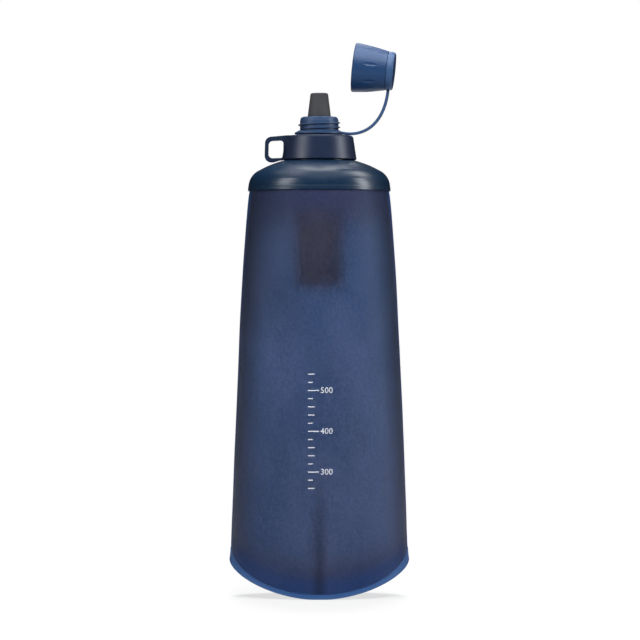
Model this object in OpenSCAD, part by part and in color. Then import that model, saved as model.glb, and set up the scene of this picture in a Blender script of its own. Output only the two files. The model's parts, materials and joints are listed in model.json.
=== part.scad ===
// Folding squeeze bottle with a screw lid, a filter cartridge and a tethered cap.
// Millimetres, +Z up. The origin is on the ground, on the axis of the neck. The tether leaves towards +X.

/* [Pouch] */
// Height of the pouch from the resting edge to the lip of the shoulder
pouch_h = 226.4; // [190:0.2:270]
// Radius of the pouch at the shoulder
top_r = 39; // [36:0.5:44]
// Half width of the pouch at the ears of the base weld
base_half_w = 49.7; // [45:0.1:56]
// Half depth of the pouch at the base weld
base_half_d = 30.5; // [26:0.5:38]
// How fast the pouch widens below the shoulder, less is faster
flare = 0.7; // [0.6:0.05:1.2]
// Thickness of the film
film_t = 0.8; // [0.6:0.1:1.2]
// Height of the middle of the base panel above the resting edge
panel_lift = 9; // [6:0.5:14]

/* [Base seam] */
// Height of the ears above the resting edge
ear_rise = 20.4; // [14:0.2:28]
// How far each ear stands out past the pouch
ear_out = 0.7; // [0.5:0.1:3]
// Half width of the level stretch that the bottle rests on
rest_half_w = 8; // [6:0.5:18]
// Width of the welded strip at the middle
strip_w = 2.8; // [2:0.1:5]
// Width of the welded strip at the ears
ear_w = 7; // [4:0.5:9]
// Thickness of the welded strip
strip_t = 1.6; // [1.4:0.1:2.4]

/* [Shoulder] */
// Wall of the shoulder moulding
shoulder_t = 1.8; // [1.4:0.1:2.6]
// Rise from the lip to the foot of the neck
dome_h = 16.8; // [12:0.2:20]
// Radius of the rounded band above the lip
band_r = 10.4; // [7:0.2:11]
// How far the lip stands out past the pouch
lip_out = 0.9; // [0.4:0.1:1.5]
// Height of the lip's straight rim
lip_h = 2.2; // [1:0.1:4]
// How far the dome bows out between the neck and the band
dome_bow = 0.4; // [0:0.1:1]
// Depth of the skirt that the pouch is welded to
skirt_h = 8; // [5:0.5:12]
// Outer radius of the neck
neck_r = 16.8; // [16.4:0.1:18.5]
// Wall of the neck
neck_t = 2.2; // [1.6:0.1:2.6]
// Height of the neck
neck_h = 11; // [9:0.5:14]

/* [Lid] */
// Outer radius of the lid at its foot
lid_foot_r = 20.9; // [20.4:0.1:23]
// Outer radius of the lid at its top edge
lid_top_r = 19.3; // [19.2:0.1:22]
// Thickness of the lid's top
lid_top_t = 2.2; // [1.6:0.1:3]
// Rounding of the lid's top edge
lid_round = 1.6; // [0.8:0.1:2]
// Running gap between the neck and the lid
lid_gap = 0.9; // [0.7:0.1:1.2]
// Thickness of the gasket
gasket_t = 1; // [0.6:0.1:1.6]
// Width of the hole in the carry loop
loop_hole_w = 8.4; // [7:0.1:14]
// Thickness of the carry loop's bars
loop_bar = 2.1; // [1.6:0.1:3]
// Rounding of the carry loop's outer corners
loop_round = 3.6; // [2.5:0.1:4.5]
// Depth of the carry loop from front to back
loop_d = 5; // [3:0.5:8]

/* [Spout and mouthpiece] */
// Outer radius of the spout below its thread
spout_r = 10.8; // [10.2:0.1:11.2]
// Height of the spout above the lid
spout_h = 10.5; // [9:0.1:12]
// Radius of the socket for the filter
socket_r = 8.6; // [8:0.1:9]
// Depth of the socket below the lid's top plate
socket_d = 8.4; // [7:0.1:10]
// Thickness of the web above the socket
web_t = 1.6; // [1.2:0.1:2.4]
// Thickness of the spout's flange under the lid
flange_t = 1.2; // [0.8:0.1:2]
// Thickness of the seal above the filter
seal_t = 0.75; // [0.5:0.05:1.2]
// Depth of the mouthpiece's plug in the spout
plug_d = 5.5; // [4:0.5:8]
// Radius of the mouthpiece at its foot
mouth_foot_r = 6.5; // [5.9:0.1:7]
// Radius of the mouthpiece at its tip
mouth_tip_r = 4.9; // [4:0.1:5.4]
// Height of the mouthpiece above the spout
mouth_h = 13.4; // [10:0.2:14]
// Diameter of the drinking hole
sip_d = 3.6; // [2.5:0.1:5]

/* [Tether] */
// Thickness of the strap and of the ring at its edge
strap_t = 1.4; // [1:0.1:1.8]
// Width of the strap
strap_w = 4.4; // [3:0.1:6]
// Radial width of the ring round the spout
ring_w = 2.9; // [2:0.1:3.2]
// Height of the ring at the spout
ring_h = 2; // [1.6:0.1:2.6]
// Gap between the lid and the ring
ring_lift = 0.9; // [0.4:0.1:1.2]
// Direction that the strap leaves in, seen from above
tether_turn = -5; // [-20:1:20]

/* [Cap] */
// Length of the cap
cap_len = 22.7; // [22:0.1:25]
// Radius of the cap at its open end
cap_open_r = 13.8; // [13.4:0.1:14.6]
// Radius of the cap at its ring
cap_neck_r = 10.9; // [10.4:0.1:11.6]
// Wall of the cap
cap_wall = 1; // [0.8:0.1:1.2]
// Number of finger flutes
flutes = 8; // [5:1:9]
// Length of a flute
flute_len = 9.4; // [6:0.2:12]
// Width of a flute
flute_w = 2.4; // [1.6:0.1:3]
// Depth of a flute
flute_d = 0.4; // [0.2:0.05:0.5]
// Distance from the neck's axis to the open end, with the cap hanging free
cap_out = 19.4; // [19:0.1:24]
// Height of the open cap's mouth above the lid
cap_rise = 38.2; // [37:0.1:44]
// Tilt of the open cap's axis
cap_tilt = -6.3; // [-12:0.1:6]

/* [Filter] */
// Outer radius of the filter
filter_r = 13.4; // [12.6:0.1:13.8]
// Length of the filter below its boss
filter_len = 74; // [60:1:90]
// Wall of the filter housing
filter_wall = 1.4; // [1:0.1:2]
// Height of the filter's head
head_h = 8; // [6:0.5:10]
// Height of the filter's end cap
end_cap_h = 6; // [5:0.5:8]
// Height of the potting plug
potting_h = 7; // [4:0.5:10]
// Height of the O-ring's groove above the filter's head
groove_up = 3.6; // [2:0.1:5]
// Width of the O-ring's groove
groove_w = 2; // [1.5:0.1:2.6]
// Depth of the O-ring's groove
groove_d = 1.3; // [0.8:0.1:1.6]
// Slots in each ring of inlets
slots = 12; // [6:1:14]
// Radius of a fibre loop's strand
fibre_r = 1.1; // [0.9:0.05:1.2]

/* [Hidden] */
$fn = 96;

seat_gap = 0.05;
run_gap = 0.1;
sides = 64;
rows = 16;
panel_rings = 6;
depth_power = 1.3;
edge_power = 1.55;
ear_power = 6;
tiny = 0.01;

// heights, from the ground up
lip_z = pouch_h;
shelf_z = lip_z + dome_h;
rim_z = shelf_z + neck_h;
ceiling_z = rim_z + gasket_t + seat_gap;
lid_z = ceiling_z + lid_top_t;
lid_foot_z = shelf_z + 0.6;
spout_top_z = lid_z + spout_h;
tip_z = spout_top_z + mouth_h;
ring_z = lid_z + ring_lift;
socket_z = ceiling_z - socket_d;
web_z = ceiling_z + 1.2;
seal_z = web_z - seal_t - seat_gap;

// radii shared by pieces that fit
lip_r = top_r + lip_out;
skirt_r = top_r - film_t - run_gap;
shelf_r = lid_foot_r + 0.3;
neck_bore = neck_r - neck_t;
lid_bore = neck_r + lid_gap;
flange_r = neck_bore - 1;
ring_bore = spout_r + run_gap;
ring_r = ring_bore + ring_w;
boss_r = socket_r - 0.3;
well_r = mouth_tip_r + run_gap;

// A rounded corner at b, between a and c, of radius r
function unit(v) = v / norm(v);
function corner(a, b, c, r, n = 6) =
    let (u = unit(a - b), v = unit(c - b), half = acos(u * v) / 2)
    let (o = b + unit(u + v) * r / sin(half))
    let (p = b + u * r / tan(half) - o, q = b + v * r / tan(half) - o)
    let (from = atan2(p.y, p.x), turn = (atan2(q.y, q.x) - from + 540) % 360 - 180)
    [for (i = [0:n]) o + r * [cos(from + turn * i / n), sin(from + turn * i / n)]];
function arc(o, r, from, to, n = 8) =
    [for (i = [0:n]) let (t = from + (to - from) * i / n) o + r * [cos(t), sin(t)]];
// A line from a to b that bows out to its left by h
function bow(a, b, h, n = 6) =
    let (side = unit([a.y - b.y, b.x - a.x]))
    [for (i = [0:n]) a + (b - a) * i / n + h * sin(180 * i / n) * side];
// Rounds every corner of an outline of [x, y, radius]
function rounded(pts) =
    let (n = len(pts))
    [for (i = [0:n - 1])
        let (a = pts[(i + n - 1) % n], b = pts[i], c = pts[(i + 1) % n])
        each b.z == 0 ? [[b.x, b.y]] : corner([a.x, a.y], [b.x, b.y], [c.x, c.y], b.z)];

// ---- pouch ----

// Half width, half depth and lower edge of the pouch round its axis
function share(z) = min(1, (lip_z - z) / (lip_z - ear_rise));
function half_w(z) = top_r + (base_half_w - top_r) * pow(share(z), flare);
function below_skirt(z) = max(0, min(1, (lip_z - skirt_h - z) / (lip_z - skirt_h - ear_rise)));
function half_d(z) = top_r + (base_half_d - top_r) * pow(below_skirt(z), depth_power);
function edge_z(t) =
    let (x = (base_half_w + ear_out) * abs(cos(t)))
    let (s = max(0, x - rest_half_w) / (base_half_w + ear_out - rest_half_w))
    ear_rise * (1 - pow(1 - pow(s, edge_power), 1 / edge_power));
function weld_z(t) = edge_z(t) + strip_w + (ear_w - strip_w) * pow(abs(cos(t)), ear_power);

function film_point(t, up, inset) =
    let (low = weld_z(t) + seat_gap, z = low + (lip_z - seat_gap - low) * up)
    [(half_w(z) - inset) * cos(t), (half_d(z) - inset) * sin(t), z];
function strip_point(t, low, inset) =
    let (out = low ? ear_out * pow(abs(cos(t)), ear_power) : 0)
    [(base_half_w + out - inset) * cos(t), (base_half_d + out - inset) * sin(t), low ? edge_z(t) : weld_z(t)];
function panel_point(t, k, down) =
    let (r = k / panel_rings, z = (edge_z(t) + weld_z(t)) / 2)
    let (w = base_half_w - strip_t - seat_gap, d = base_half_d - strip_t - seat_gap)
    [w * r * cos(t), d * r * sin(t), panel_lift + (z - panel_lift) * r * r - down];

// A tube of rings of `sides` points, the last ring joined to the first
module ring_tube(rings) {
    n = len(rings);
    polyhedron(
        points = [for (ring = rings) each ring],
        faces = [for (j = [0:n - 1], i = [0:sides - 1], half = [0, 1])
            let (k = (j + 1) % n, m = (i + 1) % sides)
            let (a = j * sides + i, b = j * sides + m, c = k * sides + m, d = k * sides + i)
            half == 0 ? [a, b, c] : [a, c, d]]
    );
}

function turn_of(i) = 360 * i / sides;

module pouch_wall() {
    color("#3a4f80", 0.8)
    ring_tube([
        for (j = [rows:-1:0]) [for (i = [0:sides - 1]) film_point(turn_of(i), pow(j / rows, 0.8), 0)],
        for (j = [0:rows]) [for (i = [0:sides - 1]) film_point(turn_of(i), pow(j / rows, 0.8), film_t)]
    ]);
}

module base_seam() {
    color("#3a5a8c")
    ring_tube([
        for (p = [[false, 0], [true, 0], [true, strip_t], [false, strip_t]])
            [for (i = [0:sides - 1]) strip_point(turn_of(i), p[0], p[1])]
    ]);
}

module base_panel() {
    faces_n = panel_rings * sides;
    half_t = film_t / 2;
    levels = [half_t, -half_t];
    color("#33497a")
    polyhedron(
        points = [
            for (d = levels, k = [1:panel_rings], i = [0:sides - 1]) panel_point(turn_of(i), k, d),
            for (d = levels) panel_point(0, 0, d)
        ],
        faces = [
            for (s = [0, 1], k = [0:panel_rings - 2], i = [0:sides - 1], half = [0, 1])
                let (m = (i + 1) % sides, o = s * faces_n + k * sides)
                let (q = half == 0 ? [o + i, o + m, o + sides + m] : [o + i, o + sides + m, o + sides + i])
                s == 0 ? q : [q[2], q[1], q[0]],
            for (s = [0, 1], i = [0:sides - 1])
                let (m = (i + 1) % sides, c = 2 * faces_n + s, o = s * faces_n)
                s == 0 ? [c, o + m, o + i] : [c, o + i, o + m],
            for (i = [0:sides - 1], half = [0, 1])
                let (m = (i + 1) % sides, a = faces_n - sides, b = 2 * faces_n - sides)
                half == 0 ? [a + i, a + m, b + m] : [a + i, b + m, b + i]
        ]
    );
}

// ---- shoulder ----

module shoulder() {
    rim_round = 0.3;
    band_x = lip_r - 0.2 - band_r;
    band_z = lip_z + lip_h;
    crease_at = 64;
    t = shoulder_t;
    inner_r = band_r - t;
    crease = [band_x, band_z] + band_r * [cos(crease_at), sin(crease_at)];
    color("#1f4263")
    rotate_extrude()
    polygon([
        [neck_bore, rim_z], [neck_r, rim_z], [neck_r, shelf_z], each bow([shelf_r, shelf_z], crease, dome_bow),
        each arc([band_x, band_z], band_r, crease_at - 6, 0),
        [lip_r, band_z - rim_round], [lip_r, lip_z], [skirt_r, lip_z], [skirt_r, lip_z - skirt_h],
        [skirt_r - t, lip_z - skirt_h], [skirt_r - t, lip_z],
        each arc([band_x, band_z], inner_r, 0, crease_at),
        [neck_bore, shelf_z - t]
    ]);
}

// ---- lid ----

module lid_gasket() {
    color("#2b2d33")
    translate([0, 0, rim_z + seat_gap / 2])
    difference() {
        cylinder(r = neck_r, h = gasket_t);
        translate([0, 0, -1]) cylinder(r = flange_r + 0.5, h = gasket_t + 2);
    }
}

module loop_outline() {
    foot = lid_foot_z + 0.1;
    root = lid_foot_r - 2.4;
    hole_in = lid_foot_r - 0.8;
    hole_out = hole_in + loop_hole_w;
    hole_foot = foot + 0.8;
    hole_top = lid_z - loop_bar - 0.9;
    hole_round = loop_round - 1.3;
    side_x = hole_out + loop_bar;
    low = hole_foot - loop_bar - 0.2;
    high = hole_top + loop_bar;
    difference() {
        polygon(rounded([
            [-root, foot, 0], [-lid_foot_r - 1.4, foot - 0.3, 3], [-hole_out + 3, low + 0.2, 3],
            [-side_x - 0.1, low, loop_round], [-side_x + 0.3, high, loop_round],
            [-lid_top_r + 1.2, lid_z + 0.2, 2], [-lid_bore + 3, lid_z + 0.2, 0], [-lid_bore + 3, lid_z - 1, 0],
            [-root, lid_z - 1, 0]
        ]));
        polygon(rounded([
            [-hole_in, hole_foot + 0.3, 1.6], [-hole_out, hole_foot, hole_round],
            [-hole_out + 0.2, hole_top, hole_round], [-hole_in, hole_top + 0.4, 1.6]
        ]));
    }
}

module lid_shell() {
    foot_in = lid_foot_r - 0.5;
    inner_edge = lid_gap / 2;
    side = [lid_top_r, lid_z - lid_round - 1];
    color("#1e2a4a")
    difference() {
        union() {
            rotate_extrude()
            polygon([
                [ring_bore, lid_z], [ring_bore, ceiling_z], [lid_bore - inner_edge, ceiling_z],
                [lid_bore, ceiling_z - inner_edge], [lid_bore, lid_foot_z], [foot_in, lid_foot_z],
                [lid_foot_r, lid_foot_z + 0.5], side,
                each corner(side, [lid_top_r - 0.4, lid_z], [0, lid_z], lid_round)
            ]);
            rotate([90, 0, 0])
            linear_extrude(loop_d, center = true)
            loop_outline();
        }
        translate([0, 0, lid_foot_z - 2]) cylinder(r = lid_bore, h = ceiling_z - lid_foot_z + 1);
    }
}

// ---- spout and mouthpiece ----

module spout() {
    chamfer_r = spout_r - 1.3;
    lug_r = sip_d / 2 + 1.2;
    color("#2c4a7c")
    rotate_extrude()
    polygon([
        [well_r, spout_top_z], [chamfer_r, spout_top_z], [chamfer_r + 0.9, spout_top_z - 0.7],
        [spout_r, spout_top_z - 2.3], [spout_r, ceiling_z - seat_gap], [flange_r, ceiling_z - seat_gap],
        [flange_r, ceiling_z - flange_t], [spout_r, ceiling_z - flange_t], [spout_r, socket_z],
        [socket_r, socket_z], [socket_r, web_z], [lug_r, web_z], [lug_r, web_z + web_t], [well_r, web_z + web_t]
    ]);
}

module spout_seal() {
    color("#2b2d33")
    translate([0, 0, seal_z])
    difference() {
        cylinder(r = socket_r - seat_gap, h = seal_t);
        translate([0, 0, -1]) cylinder(r = sip_d / 2 + 1.2, h = 3);
    }
}

module mouthpiece() {
    plug_z = spout_top_z - plug_d;
    foot_z = spout_top_z + seat_gap;
    color("#505255")
    difference() {
        rotate_extrude()
        polygon([
            [0, plug_z], [mouth_tip_r, plug_z], [mouth_tip_r, foot_z], [mouth_foot_r, foot_z],
            [mouth_foot_r, foot_z + 0.6],
            each corner([mouth_foot_r, foot_z + 0.6], [mouth_tip_r, tip_z], [0, tip_z], 1.1),
            [0, tip_z]
        ]);
        translate([0, 0, plug_z - 1]) cylinder(d = sip_d, h = tip_z - plug_z + 2);
    }
}

// ---- tether ----

module in_tether_plane() {
    rotate([0, 0, tether_turn]) children();
}

// Puts a piece drawn along +Z from the cap's mouth onto the hanging cap's axis
module on_cap() {
    in_tether_plane()
    translate([cap_out, 0, lid_z + cap_rise])
    rotate([0, 90 - cap_tilt, 0])
    children();
}

module tether_neck_ring() {
    color("#2c4a7c")
    rotate_extrude()
    polygon([
        [ring_bore, ring_z], [ring_r, ring_z], [ring_r, ring_z + strap_t - 0.6],
        [ring_bore + 0.6, ring_z + ring_h], [ring_bore, ring_z + ring_h]
    ]);
}

// The strap's middle line: a curve from the ring on the spout to the ring on the cap
cap_ring_at = cap_len - 2.2;
strap_from = [ring_r + seat_gap, ring_z + strap_t / 2];
strap_to = [cap_out, lid_z + cap_rise] + cap_ring_at * [cos(cap_tilt), sin(cap_tilt)]
    + (cap_neck_r + seat_gap) * [sin(cap_tilt), -cos(cap_tilt)];
strap_pull = [13.3 * [cos(12), -sin(12)], 18.6 * [cos(83), sin(83)]];
function strap_mid(s) =
    pow(1 - s, 3) * strap_from + 3 * pow(1 - s, 2) * s * (strap_from + strap_pull[0])
    + 3 * (1 - s) * s * s * (strap_to - strap_pull[1]) + pow(s, 3) * strap_to;
function strap_side(s, side) =
    let (along = unit(strap_mid(min(1, s + tiny)) - strap_mid(max(0, s - tiny))))
    strap_mid(s) + side * strap_t / 2 * [-along.y, along.x];

module tether_strap() {
    steps = 20;
    color("#2f5088")
    difference() {
        in_tether_plane()
        rotate([90, 0, 0])
        linear_extrude(strap_w, center = true)
        polygon([
            for (i = [0:steps]) strap_side(i / steps, 1),
            for (i = [steps:-1:0]) strap_side(i / steps, -1)
        ]);
        cylinder(r = ring_r + seat_gap, h = 2 * lid_z);
    }
}

ring_from = cap_len - 3.8;
ring_to = cap_len - 0.6;
hub_r = cap_neck_r - 2.2;

module tether_cap_ring() {
    color("#2f5088")
    on_cap()
    rotate_extrude()
    polygon([
        [hub_r + run_gap, ring_from], [cap_neck_r - 0.2, ring_from], [cap_neck_r, ring_from + 0.3],
        [cap_neck_r, ring_to - 0.8], [cap_neck_r - 0.6, ring_to], [hub_r + run_gap, ring_to]
    ]);
}

// ---- cap ----

// A spindle that cuts a shallow lens-shaped flute of the named length, width and depth
module flute() {
    round_r = (flute_w * flute_w / 4 + flute_d * flute_d) / (2 * flute_d);
    bow_r = (flute_len * flute_len / 4 + flute_d * flute_d) / (2 * flute_d);
    long = sqrt(2 * bow_r * round_r - round_r * round_r);
    spread = asin(long / bow_r) - 1;
    translate([round_r - flute_d, 0, 0])
    rotate_extrude()
    polygon([[0, -long], each arc([round_r - bow_r, 0], bow_r, -spread, spread), [0, long]]);
}

module cap_shell() {
    seat = cap_neck_r + 0.05;
    side_from = 1;
    side_to = ring_from - 0.15;
    bulge = 0.35;
    step_z = cap_len - 5.1;
    tip_room_r = mouth_tip_r + 1.7;
    lean = atan((cap_open_r - cap_neck_r) / cap_len);
    flute_mid = cap_len * 0.46;
    flute_turn = 9;
    function side_r(z, off) =
        let (s = (z - side_from) / (side_to - side_from))
        cap_open_r + (seat - cap_open_r) * s + bulge * sin(180 * max(0, min(1, s))) - off;
    color("#35568a")
    on_cap()
    difference() {
        rotate_extrude()
        polygon([
            [cap_open_r - cap_wall, 0], [cap_open_r - 0.4, 0], [cap_open_r - 0.05, 0.4],
            each [for (i = [0:8]) let (z = side_from + (side_to - side_from) * i / 8) [side_r(z, 0), z]],
            [hub_r, side_to], [hub_r, ring_to + seat_gap], [cap_neck_r - 1.1, ring_to + seat_gap],
            [cap_neck_r - 1.1, cap_len - 0.3], [cap_neck_r - 1.4, cap_len], [0, cap_len],
            [0, cap_len - 1.5], [tip_room_r, cap_len - 1.5], [tip_room_r, step_z],
            each [for (i = [8:-1:0]) let (z = side_from + (step_z - side_from) * i / 8) [side_r(z, cap_wall), z]]
        ]);
        for (i = [0:flutes - 1])
            rotate([0, 0, 360 * i / flutes - flute_turn])
            translate([side_r(flute_mid, 0), 0, flute_mid])
            rotate([0, -lean, 0])
            flute();
    }
}

// ---- filter ----

boss_z = seal_z - seat_gap;
head_z = socket_z - 0.4;
filter_foot_z = head_z - filter_len;
housing_top_z = head_z - head_h;
housing_foot_z = filter_foot_z + end_cap_h;
core_r = filter_r - filter_wall;
groove_z = head_z + groove_up;
groove_r = boss_r - groove_d;

module filter_o_ring() {
    thick = (socket_r - groove_r) / 2 - seat_gap;
    color("#2b2d33")
    translate([0, 0, groove_z + groove_w / 2])
    rotate_extrude()
    translate([(socket_r + groove_r) / 2, 0])
    circle(r = thick, $fn = 24);
}

module filter_head() {
    color("#3b3a3c")
    rotate_extrude()
    polygon([
        [sip_d / 2 + 0.8, boss_z], [boss_r, boss_z], [boss_r, groove_z + groove_w], [groove_r, groove_z + groove_w],
        [groove_r, groove_z], [boss_r, groove_z], [boss_r, head_z], [filter_r - 1, head_z], [filter_r, head_z - 1],
        [filter_r, housing_top_z], [core_r - 0.2, housing_top_z], [core_r - 0.2, housing_top_z - 2],
        [core_r - 1.4, housing_top_z - 2], [core_r - 1.4, head_z - 3], [sip_d / 2 + 0.8, head_z - 3]
    ]);
}

module filter_housing() {
    slot_h = 7;
    slot_w = 2.4;
    levels = 4;
    top_z = housing_top_z - seat_gap;
    foot_z = housing_foot_z + seat_gap;
    color("#4a3f3d")
    difference() {
        translate([0, 0, foot_z]) cylinder(r = filter_r, h = top_z - foot_z);
        translate([0, 0, foot_z - 1]) cylinder(r = core_r, h = top_z - foot_z + 2);
        for (level = [0:levels - 1], i = [0:slots - 1])
            rotate([0, 0, 360 * (i + level / 2) / slots])
            translate([core_r - 1, -slot_w / 2, foot_z + 6 + level * (slot_h + 3)])
            cube([filter_wall + 2, slot_w, slot_h]);
    }
}

module filter_end_cap() {
    round_r = 3;
    color("#3b3a3c")
    rotate_extrude()
    polygon([
        [0, filter_foot_z],
        each arc([filter_r - round_r, filter_foot_z + round_r], round_r, -90, 0),
        [filter_r, housing_foot_z], [core_r - 0.2, housing_foot_z], [core_r - 0.2, housing_foot_z + 2],
        [core_r - 1.4, housing_foot_z + 2], [core_r - 1.4, filter_foot_z + 2], [0, filter_foot_z + 2]
    ]);
}

potting_z = housing_top_z - 2 - seat_gap;

module potting_plug() {
    color("#d8d2c0")
    translate([0, 0, potting_z - potting_h])
    cylinder(r = core_r - 0.1, h = potting_h);
}

// A fibre folded double, both ends up in the potting plug
module fibre_loop(span, drop) {
    top_z = potting_z - potting_h - seat_gap;
    translate([0, 0, top_z - drop]) {
        for (side = [-1, 1])
            translate([side * span, 0, 0]) cylinder(r = fibre_r, h = drop, $fn = 24);
        rotate([90, 0, 0])
        rotate([0, 0, 180])
        rotate_extrude(angle = 180)
        translate([span, 0]) circle(r = fibre_r, $fn = 24);
    }
}

module fibre_bundle() {
    pitch = 3 * fibre_r;
    reach = core_r - fibre_r - 0.6;
    drop = potting_z - potting_h - housing_foot_z - reach - fibre_r - 4;
    rows_n = floor(reach / pitch);
    color("#ece6d8")
    for (k = [-rows_n:rows_n])
        let (y = k * pitch, half = sqrt(reach * reach - y * y))
        for (span = [pitch / 2:pitch:half])
            translate([0, y, 0]) fibre_loop(span, drop);
}

base_panel();
base_seam();
pouch_wall();
shoulder();
lid_gasket();
lid_shell();
spout();
spout_seal();
mouthpiece();
tether_neck_ring();
tether_strap();
tether_cap_ring();
cap_shell();
filter_o_ring();
filter_head();
filter_housing();
filter_end_cap();
potting_plug();
fibre_bundle();
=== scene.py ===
"""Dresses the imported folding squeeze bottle: film pouch, mouldings, thread, strap, filter and studio."""

from __future__ import annotations

import json
import logging
import math
from collections.abc import Callable, Iterator, Mapping, Sequence
from contextlib import contextmanager
from dataclasses import dataclass
from enum import Enum
from typing import Any

import bpy
from mathutils import Matrix, Vector, noise


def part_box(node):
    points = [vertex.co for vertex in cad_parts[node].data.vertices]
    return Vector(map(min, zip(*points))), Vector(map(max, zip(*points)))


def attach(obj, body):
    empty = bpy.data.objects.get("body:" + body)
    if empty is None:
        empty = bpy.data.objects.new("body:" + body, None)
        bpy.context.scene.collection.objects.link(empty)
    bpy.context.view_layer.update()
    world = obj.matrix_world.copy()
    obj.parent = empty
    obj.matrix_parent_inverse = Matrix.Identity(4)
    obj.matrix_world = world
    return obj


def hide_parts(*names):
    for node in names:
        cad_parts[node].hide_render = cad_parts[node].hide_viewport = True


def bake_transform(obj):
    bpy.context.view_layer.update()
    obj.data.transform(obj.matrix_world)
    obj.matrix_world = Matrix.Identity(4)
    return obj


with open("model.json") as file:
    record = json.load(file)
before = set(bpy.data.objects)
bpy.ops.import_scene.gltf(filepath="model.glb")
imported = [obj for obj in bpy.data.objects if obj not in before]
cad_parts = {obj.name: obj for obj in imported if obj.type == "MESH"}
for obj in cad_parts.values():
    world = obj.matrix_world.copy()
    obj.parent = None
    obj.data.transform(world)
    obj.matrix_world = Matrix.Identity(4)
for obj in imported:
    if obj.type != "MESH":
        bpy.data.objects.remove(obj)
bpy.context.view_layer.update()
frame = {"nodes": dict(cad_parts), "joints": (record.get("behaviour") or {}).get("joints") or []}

log = logging.getLogger("bottle")

MM = 0.001
REST = "rest_place"
LIT = "cap_lit"
UP = Vector((0, 0, 1))
WHITE = (1, 1, 1, 1)
FILM_IOR = 1.3

Colour = tuple[float, float, float]
Piece = bpy.types.Object
Material = bpy.types.Material


class Body(str, Enum):
    """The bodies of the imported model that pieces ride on."""

    BASE = "base"
    SHOULDER = "shoulder"
    LID = "lid"
    NECK_RING = "neck_ring"
    CAP_RING = "cap_ring"
    CAP = "cap"


class Side(Enum):
    """Whether a thread stands out of a wall or into a bore."""

    OUTSIDE = 1.0
    INSIDE = -1.0


# ---------------- workbench


class Bench:
    """Modelling steps as they are done by hand, each with what it acts on selected first."""

    @staticmethod
    def clear() -> None:
        """Leaves nothing selected."""
        for thing in bpy.context.selected_objects:
            thing.select_set(False)
        bpy.context.view_layer.objects.active = None

    @staticmethod
    def take(piece: Piece) -> None:
        """Makes one piece the selected and active one.

        Args:
            piece: The piece.
        """
        Bench.clear()
        piece.select_set(True)
        bpy.context.view_layer.objects.active = piece

    @staticmethod
    def add(operator: Callable[..., Any], name: str, **settings: Any) -> Piece:
        """Adds a primitive.

        Args:
            operator: The bpy.ops call that adds it.
            name: The new piece's name.
            **settings: The primitive's size, place and number of sides.

        Returns:
            The new object.
        """
        Bench.clear()
        operator(**settings)
        piece = bpy.context.active_object
        piece.name = name
        piece.data.name = name
        return piece

    @staticmethod
    @contextmanager
    def editing(piece: Piece, mode: str = "VERT") -> Iterator[None]:
        """Edit mode on one piece, with nothing selected at first.

        Args:
            piece: The mesh object to edit.
            mode: VERT, EDGE or FACE.

        Yields:
            Nothing, while the piece is in edit mode.
        """
        Bench.take(piece)
        bpy.ops.object.mode_set(mode="EDIT")
        bpy.ops.mesh.select_mode(type=mode)
        bpy.ops.mesh.select_all(action="DESELECT")
        yield
        bpy.ops.object.mode_set(mode="OBJECT")

    @staticmethod
    def modify(piece: Piece, kind: str, **settings: Any) -> None:
        """Adds a modifier and applies it.

        Args:
            piece: The object that gets it.
            kind: The modifier's type.
            **settings: The modifier's values.
        """
        Bench.take(piece)
        modifier = piece.modifiers.new(kind.title(), kind)
        for name, value in settings.items():
            setattr(modifier, name, value)
        bpy.ops.object.modifier_apply(modifier=modifier.name)

    @staticmethod
    def settle(piece: Piece, angle: float = 40.0) -> Piece:
        """Puts a piece's place into its mesh and shades it.

        Args:
            piece: The finished piece.
            angle: Edges sharper than this many degrees stay sharp.

        Returns:
            The piece.
        """
        Bench.take(piece)
        bpy.ops.object.transform_apply(location=True, rotation=True, scale=True)
        bpy.ops.object.shade_smooth_by_angle(angle=math.radians(angle))
        Bench.clear()
        return piece

    @staticmethod
    def outward(piece: Piece) -> None:
        """Merges doubles and turns every face outwards.

        Args:
            piece: The mesh to mend.
        """
        with Bench.editing(piece):
            bpy.ops.mesh.select_all(action="SELECT")
            bpy.ops.mesh.remove_doubles(threshold=0.00001)
            bpy.ops.mesh.normals_make_consistent(inside=False)

    @staticmethod
    def loft(name: str, sides: int, rows: int, place: Callable[[float, float], Vector]) -> Piece:
        """A ring drawn upwards row by row, then formed by moving its points.

        Args:
            name: The new piece's name.
            sides: Points round the ring.
            rows: Rows above the first ring.
            place: Gives a point from its turn in radians and its share of the height.

        Returns:
            The open lofted sheet.
        """
        piece = Bench.add(bpy.ops.mesh.primitive_circle_add, name, vertices=sides, radius=1.0)
        with Bench.editing(piece, "EDGE"):
            bpy.ops.mesh.select_all(action="SELECT")
            for _ in range(rows):
                bpy.ops.mesh.extrude_region_move(TRANSFORM_OT_translate={"value": (0.0, 0.0, 1.0 / rows)})
        for point in piece.data.vertices:
            point.co = place(math.atan2(point.co.y, point.co.x), point.co.z)
        Bench.outward(piece)
        return piece

    @staticmethod
    def keep_rest(piece: Piece) -> None:
        """Stores each point's place at rest, which a pattern on a moving film or strap reads.

        Args:
            piece: The finished mesh.
        """
        stored = piece.data.attributes.new(REST, "FLOAT_VECTOR", "POINT")
        for index, point in enumerate(piece.data.vertices):
            stored.data[index].vector = point.co


# ---------------- shader maths


def _arithmetic(operation: str) -> tuple[Callable[..., Value], Callable[..., Value]]:
    """A Math node's operation for Python's arithmetic.

    Args:
        operation: What the node does.

    Returns:
        The operator and its reflected form.
    """

    def straight(value: Value, other: Any) -> Value:
        """The value, then the other."""
        return value.math(operation, value, other)

    def reflected(value: Value, other: Any) -> Value:
        """The other, then the value."""
        return value.math(operation, other, value)

    return straight, reflected


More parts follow.
